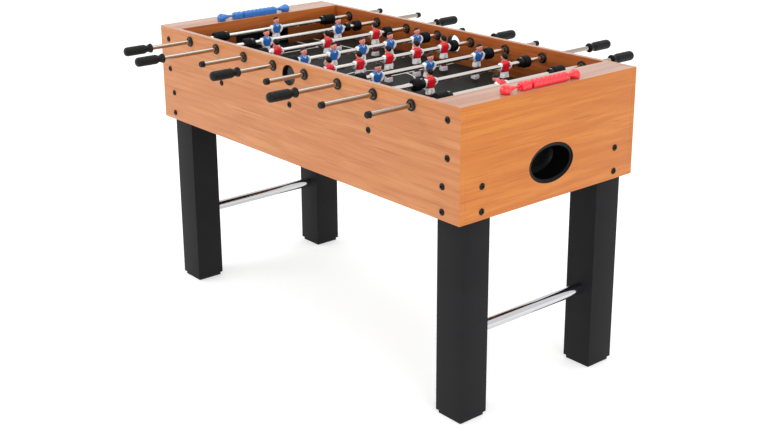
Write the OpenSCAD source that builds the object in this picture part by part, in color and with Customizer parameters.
// Foosball table: a wooden cabinet on four posts, with eight sliding, turning rods of men.
// X runs along the table, Y across it and Z up. The origin is on the floor, under the centre.
// "near" is -Y, "far" is +Y, "left" is -X and "right" is +X. All sizes are in millimetres.

/* [Cabinet] */
// Length of the cabinet over its end panels
cab_l = 1320; // [1300:5:1340]
// Width of the cabinet over its side panels
cab_w = 620; // [610:2:630]
// Height of the cabinet's top edge above the floor
top_z = 820; // [800:5:860]
// Height of the cabinet's panels
cab_h = 286; // [280:1:300]
// Thickness of the side, end and goal panels and of the ledges
panel_t = 15; // [14:1:16]
// Distance from the cabinet's end to the playfield's end
end_w = 95; // [93:1:98]

/* [Playfield and goals] */
// Depth of the playfield's surface below the cabinet's top edge
field_drop = 100; // [98:1:104]
// Thickness of the playfield board
field_t = 12; // [9:1:12]
// Width of the goal mouth
goal_w = 200; // [180:5:210]
// Height of the goal mouth
goal_h = 64; // [60:1:68]
// Radius of the ball entry hole in each side panel
entry_r = 27; // [25:0.5:27.5]
// Depth of the ball entry hole's centre below the top edge
entry_drop = 41; // [38:1:44]
// Half width of the oval ball return opening
return_a = 79; // [75:1:82]
// Half height of the oval ball return opening
return_b = 51; // [46:1:53]

/* [Rods] */
// Distance from one rod to the next
rod_pitch = 140.6; // [140.2:0.1:141]
// Depth of the rods' axes below the cabinet's top edge
rod_drop = 26; // [25:1:28]
// Diameter of the rods
rod_d = 12.7; // [12:0.1:13]
// Wall of the rods' tube
rod_wall = 2; // [1.5:0.5:3]
// Radius of the bearings' flanges
flange_r = 15; // [14:0.5:16]
// Forward lean of the rod 6 men at rest
striker_lean = 8; // [0:1:12]
// Forward lean of the rod 8 man at rest
goalie_lean = 50; // [0:5:55]

/* [Men] */
// Distance from the rod's axis to the sole of a man's foot
foot_reach = 67; // [65:0.5:68]
// Radius of a man's head
head_r = 10.4; // [9:0.1:11]
// Height of the centre of a man's head above the rod's axis
head_up = 25; // [24:0.5:26]

/* [Handles, bumpers and caps] */
// Length of a handle grip
grip_l = 88; // [84:1:96]
// Radius of a handle grip
grip_r = 13.5; // [12:0.5:15]
// Length of a rubber bumper
bumper_l = 20; // [16:1:22]
// Length of the long bumpers on the two goal rods
long_bumper_l = 36; // [30:1:37]
// Radius of a rubber bumper
bumper_r = 16.5; // [15:0.5:17.5]
// Length of a stop collar
collar_l = 12; // [10:1:12]
// Radius of a stop collar
collar_r = 13; // [11:0.5:14]
// Length of the cap on the plain end of a rod
cap_l = 13; // [11:1:18]
// Radius of that cap
cap_r = 9; // [8.5:0.5:11]

/* [Legs] */
// Side of the square leg posts
leg_w = 89; // [80:1:90]
// Height of the pad under each leg
foot_h = 10; // [6:1:14]
// Height of the stretcher tubes above the floor
stretcher_z = 220; // [180:5:300]
// Radius of the stretcher tubes
stretcher_r = 15; // [12:0.5:18]

/* [Score counters] */
// Distance from the middle of a counter to the middle of its end ball
counter_half = 121.5; // [118:0.5:123]
// Radius of a counter's end balls
counter_ball_r = 14; // [13:0.5:14.5]
// Half height of a score bead
bead_r = 10.7; // [10:0.1:10.8]
// Thickness of a score bead
bead_t = 15.5; // [14.5:0.1:15.5]
// Distance of each counter from the middle of its ledge, towards the right
counter_shift = 25; // [0:1:26]

/* [Hidden] */
$fn = 48;
LEFT = -1;
RIGHT = 1;
NEAR = -1;
FAR = 1;
half_l = cab_l / 2;
half_w = cab_w / 2;
in_l = half_l - panel_t;
in_w = half_w - panel_t;
cab_z = top_z - cab_h;
wall_x = half_l - end_w;
ledge_z = top_z - panel_t;
goal_x = wall_x + panel_t;
field_z = top_z - field_drop;
rod_z = top_z - rod_drop;
rod_r = rod_d / 2;
entry_z = top_z - entry_drop;
return_z = cab_z + 93;
running = 0.07;
fixed_gap = 0.05;

// Each rod, from the left: its handle's side, the places along Y of its handle tip and its
// cap's end, then the places of its men, its bumpers and its stop collars.
rods = [
  [NEAR, -530, 432, [1], [-209, 208], [-183, 183]],
  [NEAR, -573, 476, [-135, 135], [-202, 210], [-185, 172]],
  [FAR, 505, -454, [-197, -14, 169], [-243, 216], []],
  [NEAR, -510, 404, [-208, -104, 0, 104, 208], [-243, 243], []],
  [FAR, 476, -438, [-227, -123, -19, 85, 189], [-262, 224], []],
  [NEAR, -528, 428, [-181, 2, 185], [-235, 226], []],
  [FAR, 573, -477, [-121, 148], [-169, 226], [-152, 209]],
  [FAR, 501, -450, [-8], [-215, 198], [-190, 173]]
];
rod_count = len(rods);
function rod_x(i) = (i - (rod_count - 1) / 2) * rod_pitch;
function is_goal_rod(i) = i == 0 || i == rod_count - 1;
function lean(i) = i == 5 ? striker_lean : i == rod_count - 1 ? goalie_lean : 0;
function bumper_length(i) = is_goal_rod(i) ? long_bumper_l : bumper_l;

// Legs and the pieces around them
leg_x = in_l - leg_w / 2;
packing_t = 12;
leg_y = in_w - packing_t - leg_w / 2;
leg_top = cab_z + 121;
leg_bolt_zs = [cab_z + 21, cab_z + 84];
bolt_r = 4;
bolt_l = 50;
bolt_head_r = 8.7;
screw_r = 3;
screw_l = 35;
hole_gap = 0.1;
corner_x = in_l - 28;
corner_w = 30;
corner_zs = [top_z - 129, top_z - 37];
rail_w = 20;
rail_xs = [-331, 0, 331];
rail_screw_z = field_z - field_t - 10;

// Ball path behind each goal
tray_wall_x = goal_x + 5;
tray_in_y = 72;
tray_out_y = 264;
tray_in_z = field_z - 52;
tray_out_z = field_z - 15;
tray_t = 5;
cup_x = in_l - 53;
cup_wall = 3;
cup_lip = 9;

// Bearings
hub_r = 11.5;
sleeve_r = 10;
flange_t = 5;

// Score counters
counter_z = top_z + 11;
counter_ys = [-14.5, -23];
counter_stop = 95.5;
first_beads = [-77, -72];
bead_gaps = [4, 8];
function end_index(end) = end == LEFT ? 0 : 1;

function ellipse(a, b) = [for (i = [0:95]) [a * cos(i * 3.75), b * sin(i * 3.75)]];
function both_halves(half) = concat(half, [for (i = [len(half) - 1:-1:0]) [-half[i][0], half[i][1]]]);
function ring_wave(l, r, depth, rings) = [
  for (i = [0:rings - 1], p = [[0.12, depth], [0.25, 0], [0.75, 0], [0.88, depth]])
    [r - p[1], l * (i + p[0]) / rings]
];

ROD_PIECES = ["shaft", "men", "bumpers", "fittings"];

// Helpers
module x_extrude(x0, x1) {
  translate([x0, 0, 0]) rotate([90, 0, 90]) linear_extrude(height = x1 - x0) children();
}
module y_extrude(y0, y1) {
  translate([0, y1, 0]) rotate([90, 0, 0]) linear_extrude(height = y1 - y0) children();
}
module y_cylinder(x, z, r, y0, y1) {
  translate([x, y0, z]) rotate([-90, 0, 0]) cylinder(r = r, h = y1 - y0);
}
module y_lathe(x, y, z) {
  translate([x, y, z]) rotate([-90, 0, 0]) rotate_extrude() children();
}
module box(lo, hi) {
  translate(lo) cube(hi - lo);
}
module at_end(end) {
  mirror([end == LEFT ? 1 : 0, 0, 0]) children();
}
module at_side(side) {
  mirror([0, side == FAR ? 1 : 0, 0]) children();
}
module all_corners() {
  for (end = [LEFT, RIGHT], side = [NEAR, FAR]) at_end(end) at_side(side) children();
}

// Cabinet
module near_panel() {
  difference() {
    box([-half_l, -half_w, cab_z], [half_l, -in_w, top_z]);
    for (i = [0:rod_count - 1]) y_cylinder(rod_x(i), rod_z, hub_r + hole_gap, -half_w - 1, -in_w + 1);
    y_cylinder(0, entry_z, entry_r, -half_w - 1, -in_w + 1);
    for (x = [-leg_x, leg_x], z = leg_bolt_zs) y_cylinder(x, z, bolt_r + hole_gap, -half_w - 1, -in_w + 1);
    for (x = [-corner_x, corner_x], z = corner_zs)
      y_cylinder(x, z, screw_r + hole_gap, -half_w - 1, -in_w + 1);
    for (x = rail_xs) y_cylinder(x, rail_screw_z, screw_r + hole_gap, -half_w - 1, -in_w + 1);
  }
}
module side_panel(side) {
  color("peru") at_side(side) near_panel();
}
module end_panel(end) {
  color("sandybrown") at_end(end) difference() {
    box([in_l, -in_w, cab_z], [half_l, in_w, top_z]);
    x_extrude(in_l - 1, half_l + 1) translate([0, return_z]) polygon(ellipse(return_a, return_b));
    for (y = [-leg_y, leg_y], z = leg_bolt_zs)
      translate([in_l - 1, y, z]) rotate([0, 90, 0]) cylinder(r = bolt_r + hole_gap, h = panel_t + 2);
  }
}
module goal_wall(end) {
  color("peru") at_end(end) difference() {
    box([wall_x, -in_w, field_z], [goal_x, in_w, top_z]);
    box([wall_x - 1, -goal_w / 2, field_z - 1], [goal_x + 1, goal_w / 2, field_z + goal_h]);
  }
}
module ledge(end) {
  color("burlywood") at_end(end) box([goal_x, -in_w, ledge_z], [in_l, in_w, top_z]);
}
module playfield() {
  color("darkslategray") box([-goal_x, -in_w, field_z - field_t], [goal_x, in_w, field_z]);
}
module inner_cleats() {
  rail_top = field_z - field_t;
  color("burlywood") {
    for (side = [NEAR, FAR]) at_side(side) difference() {
      box([-540, -in_w, rail_top - rail_w], [540, -in_w + rail_w, rail_top]);
      for (x = rail_xs) y_cylinder(x, rail_screw_z, screw_r + hole_gap, -in_w - 1, -in_w + rail_w + 1);
    }
    for (end = [LEFT, RIGHT]) at_end(end)
      box([goal_x - rail_w, -in_w + rail_w, rail_top - rail_w], [goal_x, in_w - rail_w, rail_top]);
    all_corners() difference() {
      box([corner_x - corner_w / 2, -in_w, 670], [corner_x + corner_w / 2, -in_w + corner_w, ledge_z]);
      for (z = corner_zs) y_cylinder(corner_x, z, screw_r + hole_gap, -in_w - 1, -in_w + corner_w + 1);
    }
    all_corners() difference() {
      box([in_l - leg_w, -in_w, cab_z + 6], [in_l, -in_w + packing_t, leg_top]);
      for (z = leg_bolt_zs) y_cylinder(leg_x, z, bolt_r + hole_gap, -in_w - 1, -in_w + packing_t + 1);
    }
  }
}

// Ball path
module ball_trays() {
  wall_foot = cab_z + 51;
  leg_gap_z = leg_top + 5;
  leg_gap_y = leg_y - leg_w / 2 - 6;
  wall = [[leg_gap_y, wall_foot], [leg_gap_y, leg_gap_z], [tray_out_y, leg_gap_z], [tray_out_y, field_z]];
  chute = [
    [tray_in_y, tray_in_z], [tray_out_y, tray_out_z],
    [tray_out_y, tray_out_z - tray_t], [tray_in_y, tray_in_z - tray_t]
  ];
  color("dimgray") for (end = [LEFT, RIGHT]) at_end(end) {
    x_extrude(goal_x, tray_wall_x) polygon(both_halves(wall));
    for (side = [NEAR, FAR]) at_side(side) x_extrude(tray_wall_x, in_l) polygon([for (p = chute) [-p[0], p[1]]]);
  }
}
module return_cups() {
  rim_x = half_l - 2;
  color("black") for (end = [LEFT, RIGHT]) at_end(end) difference() {
    x_extrude(cup_x, half_l) translate([0, return_z]) polygon(ellipse(return_a - 0.3, return_b - 0.3));
    x_extrude(cup_x + cup_wall, rim_x - 3) translate([0, return_z])
      polygon(ellipse(return_a - cup_wall, return_b - cup_wall));
    x_extrude(rim_x - 4, half_l + 1) translate([0, return_z])
      polygon(ellipse(return_a - cup_lip, return_b - cup_lip));
    x_extrude(rim_x, half_l + 1) translate([0, return_z])
      polygon(ellipse(return_a - cup_wall, return_b - cup_wall));
    box([cup_x - 1, -return_a, return_z + 20], [in_l - 2, return_a, return_z + return_b]);
  }
}
module ball_entry_liners() {
  profile = [
    [entry_r - 1.3, -1], [entry_r + 0.8, -1], [entry_r + 0.8, 0], [entry_r - 0.1, 0],
    [entry_r - 0.1, panel_t + 0.5], [entry_r - 1.3, panel_t + 0.5]
  ];
  color("black") for (side = [NEAR, FAR]) at_side(side) y_lathe(0, -half_w, entry_z) polygon(profile);
}

// Legs
module leg(end, side) {
  color("#2b2b2e") at_end(end) at_side(side) difference() {
    box([leg_x - leg_w / 2, -leg_y - leg_w / 2, foot_h], [leg_x + leg_w / 2, -leg_y + leg_w / 2, leg_top]);
    for (z = leg_bolt_zs) {
      y_cylinder(leg_x, z, bolt_r + hole_gap, -leg_y - leg_w / 2 - 1, -half_w + bolt_l + 1);
      translate([half_l - bolt_l - 1, -leg_y, z]) rotate([0, 90, 0])
        cylinder(r = bolt_r + hole_gap, h = bolt_l + 1);
    }
  }
}
module leg_feet() {
  pad = leg_w / 2 - 5;
  color("black") all_corners() box([leg_x - pad, -leg_y - pad, 0], [leg_x + pad, -leg_y + pad, foot_h]);
}
module stretchers() {
  reach = leg_y - leg_w / 2;
  color("silver") for (end = [LEFT, RIGHT]) at_end(end) difference() {
    y_cylinder(leg_x, stretcher_z, stretcher_r, -reach, reach);
    y_cylinder(leg_x, stretcher_z, stretcher_r - 1.5, -reach + 4, reach - 4);
  }
}

// Button-head bolt along +Y, its head's seat at the origin
module bolt(shank_r, length) {
  color("#1c1c1c") rotate([-90, 0, 0]) difference() {
    union() {
      cylinder(r = shank_r, h = length);
      rotate_extrude() polygon([[0, -4], [4, -3.9], [6.5, -2.8], [bolt_head_r, -1], [bolt_head_r, 0], [0, 0]]);
    }
    translate([0, 0, -5]) cylinder(r = 2.4, h = 3.2, $fn = 6);
  }
}
module bolts() {
  all_corners() for (z = leg_bolt_zs) {
    translate([leg_x, -half_w, z]) bolt(bolt_r, bolt_l);
    translate([half_l, -leg_y, z]) rotate([0, 0, 90]) bolt(bolt_r, bolt_l);
  }
  all_corners() for (z = corner_zs) translate([corner_x, -half_w, z]) bolt(screw_r, screw_l);
  for (side = [NEAR, FAR], x = rail_xs) at_side(side) translate([x, -half_w, rail_screw_z]) bolt(screw_r, 30);
}

// Bearings, one in each side panel for each rod
module bearing_housings() {
  flange = flange_r;
  profile = [
    [sleeve_r + fixed_gap, -flange_t], [flange - 2, -flange_t], [flange, -flange_t + 2], [flange, 0],
    [hub_r, 0], [hub_r, panel_t], [flange, panel_t], [flange, panel_t + flange_t - 2],
    [flange - 2, panel_t + flange_t], [sleeve_r + fixed_gap, panel_t + flange_t]
  ];
  color("black") for (side = [NEAR, FAR], i = [0:rod_count - 1]) at_side(side)
    y_lathe(rod_x(i), -half_w, rod_z) polygon(profile);
}
module bearing_sleeves() {
  proud = flange_t - 1.5;
  profile = [
    [rod_r + running, 0], [rod_r + running + 1.5, -proud], [sleeve_r, -proud],
    [sleeve_r, panel_t + proud], [rod_r + running + 1.5, panel_t + proud], [rod_r + running, panel_t]
  ];
  color("gray") for (side = [NEAR, FAR], i = [0:rod_count - 1]) at_side(side)
    y_lathe(rod_x(i), -half_w, rod_z) polygon(profile);
}

// A rod's pieces
module rod_shaft(i) {
  tip = rods[i][1];
  cap = rods[i][2];
  side = rods[i][0];
  y0 = side == NEAR ? tip + 8 : cap + 3;
  y1 = side == NEAR ? cap - 3 : tip - 8;
  color("silver") difference() {
    y_cylinder(rod_x(i), rod_z, rod_r, y0, y1);
    y_cylinder(rod_x(i), rod_z, rod_r - rod_wall, y0 - 1, y1 + 1);
  }
}
module man() {
  front = [
    [5, 15], [10, 13.8], [16, 11.5], [20.5, 8], [23, 3], [23.2, -5], [20.5, -10], [15, -14],
    [12.5, -17], [13.2, -31], [9.5, -32.5], [9, -53], [10.5, -54], [10.5, -foot_reach]
  ];
  side = [
    [-4.5, 15], [-7.5, 9], [-7.5, -31], [-5, -33], [-4.5, -53], [-8, -54], [-8, -foot_reach],
    [9.5, -foot_reach], [9.5, -60], [6, -54], [5, -33], [8.2, -31], [9, 5], [6, 15]
  ];
  difference() {
    union() {
      intersection() {
        x_extrude(-20, 20) polygon(both_halves(front));
        y_extrude(-24, 24) polygon(side);
      }
      translate([2.5, 0, 11]) cylinder(r = 5, h = head_up - 11);
      translate([3.2, 0, head_up]) sphere(r = head_r);
    }
    y_cylinder(0, 0, rod_r + fixed_gap, -30, 30);
  }
}
module rod_men(i) {
  blue = rods[i][0] == NEAR;
  color(blue ? "royalblue" : "crimson") for (y = rods[i][3]) translate([rod_x(i), y, rod_z])
    rotate([0, lean(i), blue ? 0 : 180]) man();
}
module rod_bumpers(i) {
  l = bumper_length(i);
  bore = rod_r + running;
  rings = is_goal_rod(i) ? 5 : 3;
  color("#202020") for (y = rods[i][4]) y_lathe(rod_x(i), y - l / 2, rod_z)
    polygon(concat([[bore, 0]], ring_wave(l, bumper_r, 1.6, rings), [[bore, l]]));
}
module grip() {
  bore = rod_r + fixed_gap;
  tip = [for (a = [0:15:90]) [grip_r * cos(a), grip_l - grip_r + grip_r * sin(a)]];
  polygon(concat(
    [[bore, 0], [grip_r - 1, 0], [grip_r, 2], [grip_r - 0.5, 6], [9.5, 13], [9.5, 17], [grip_r - 1, 23]],
    [for (p = ring_wave(grip_l - grip_r - 24, grip_r, 0.8, 8)) [p[0], p[1] + 24]],
    tip, [[0, grip_l - 7], [bore, grip_l - 7]]
  ));
}
module cap() {
  bore = rod_r + fixed_gap;
  polygon([
    [bore, 0], [cap_r - 1, 0], [cap_r, 1], [cap_r, cap_l - 3], [cap_r - 3, cap_l], [0, cap_l],
    [0, cap_l - 2.9], [bore, cap_l - 2.9]
  ]);
}
module rod_fittings(i) {
  side = rods[i][0];
  color("#1a1a1a") {
    at_side(side == NEAR ? FAR : NEAR) y_lathe(rod_x(i), abs(rods[i][1]) - grip_l, rod_z) grip();
    at_side(side) y_lathe(rod_x(i), abs(rods[i][2]) - cap_l, rod_z) cap();
    for (y = rods[i][5]) difference() {
      y_cylinder(rod_x(i), rod_z, collar_r, y - collar_l / 2, y + collar_l / 2);
      y_cylinder(rod_x(i), rod_z, rod_r + fixed_gap, y - collar_l, y + collar_l);
      translate([rod_x(i), y, rod_z + collar_r - 2]) cylinder(r = 2.2, h = 5);
    }
  }
}

// Score counters, each a rail with a ball at both ends and two groups of beads
module at_counter(end) {
  translate([end * (half_l - end_w / 2) + counter_shift, counter_ys[end_index(end)], counter_z]) children();
}
module counter_rail(end) {
  color(end == LEFT ? "dodgerblue" : "red") at_counter(end) difference() {
    union() {
      y_cylinder(0, 0, 3, -counter_half, counter_half);
      for (y = [-counter_half, counter_half]) translate([0, y, -2]) sphere(r = counter_ball_r);
      for (side = [NEAR, FAR]) at_side(side) y_lathe(0, -counter_half, 0)
        polygon([[0, 0], [9, 8], [5.5, 15], [5, counter_half - counter_stop], [0, counter_half - counter_stop]]);
    }
    box([-30, -150, -30], [30, 150, top_z - counter_z]);
  }
}
module bead() {
  w = bead_r - 0.7;
  across = concat(
    [[-w, 0], [-w, -8], [-w + 1.5, -bead_r], [w - 1.5, -bead_r], [w, -8]],
    [for (a = [0:15:165]) [w * cos(a), bead_r * sin(a)]]
  );
  along = [
    [fixed_gap, -bead_r], [fixed_gap, 5], [3.2, bead_r], [bead_t - 3.2, bead_r],
    [bead_t - fixed_gap, 5], [bead_t - fixed_gap, -bead_r]
  ];
  difference() {
    intersection() {
      y_extrude(0, bead_t) polygon(across);
      x_extrude(-bead_r, bead_r) polygon(along);
    }
    y_cylinder(0, 0, 3 + running, -1, bead_t + 1);
  }
}
module scored_beads(end) {
  color(end == LEFT ? "dodgerblue" : "red") at_counter(end) for (k = [0:1])
    translate([0, first_beads[end_index(end)] + k * bead_t, 0]) bead();
}
module waiting_beads(end) {
  start = first_beads[end_index(end)] + bead_gaps[end_index(end)];
  color(end == LEFT ? "dodgerblue" : "red") at_counter(end) for (k = [2:9])
    translate([0, start + k * bead_t, 0]) bead();
}

side_panel(NEAR);  // near_side_panel
side_panel(FAR);  // far_side_panel
end_panel(LEFT);  // left_end_panel
end_panel(RIGHT);  // right_end_panel
goal_wall(LEFT);  // left_goal_wall
goal_wall(RIGHT);  // right_goal_wall
ledge(LEFT);  // left_ledge
ledge(RIGHT);  // right_ledge
playfield();
inner_cleats();
ball_trays();
return_cups();
ball_entry_liners();
leg(LEFT, NEAR);  // left_near_leg
leg(LEFT, FAR);  // left_far_leg
leg(RIGHT, NEAR);  // right_near_leg
leg(RIGHT, FAR);  // right_far_leg
leg_feet();
stretchers();
bolts();
bearing_housings();
bearing_sleeves();
counter_rail(LEFT);  // left_counter_rail
counter_rail(RIGHT);  // right_counter_rail
scored_beads(LEFT);  // left_scored_beads
waiting_beads(LEFT);  // left_waiting_beads
scored_beads(RIGHT);  // right_scored_beads
waiting_beads(RIGHT);  // right_waiting_beads
for (i = [0:rod_count - 1]) {
  rod_shaft(i);
  rod_men(i);
  rod_bumpers(i);
  rod_fittings(i);
}
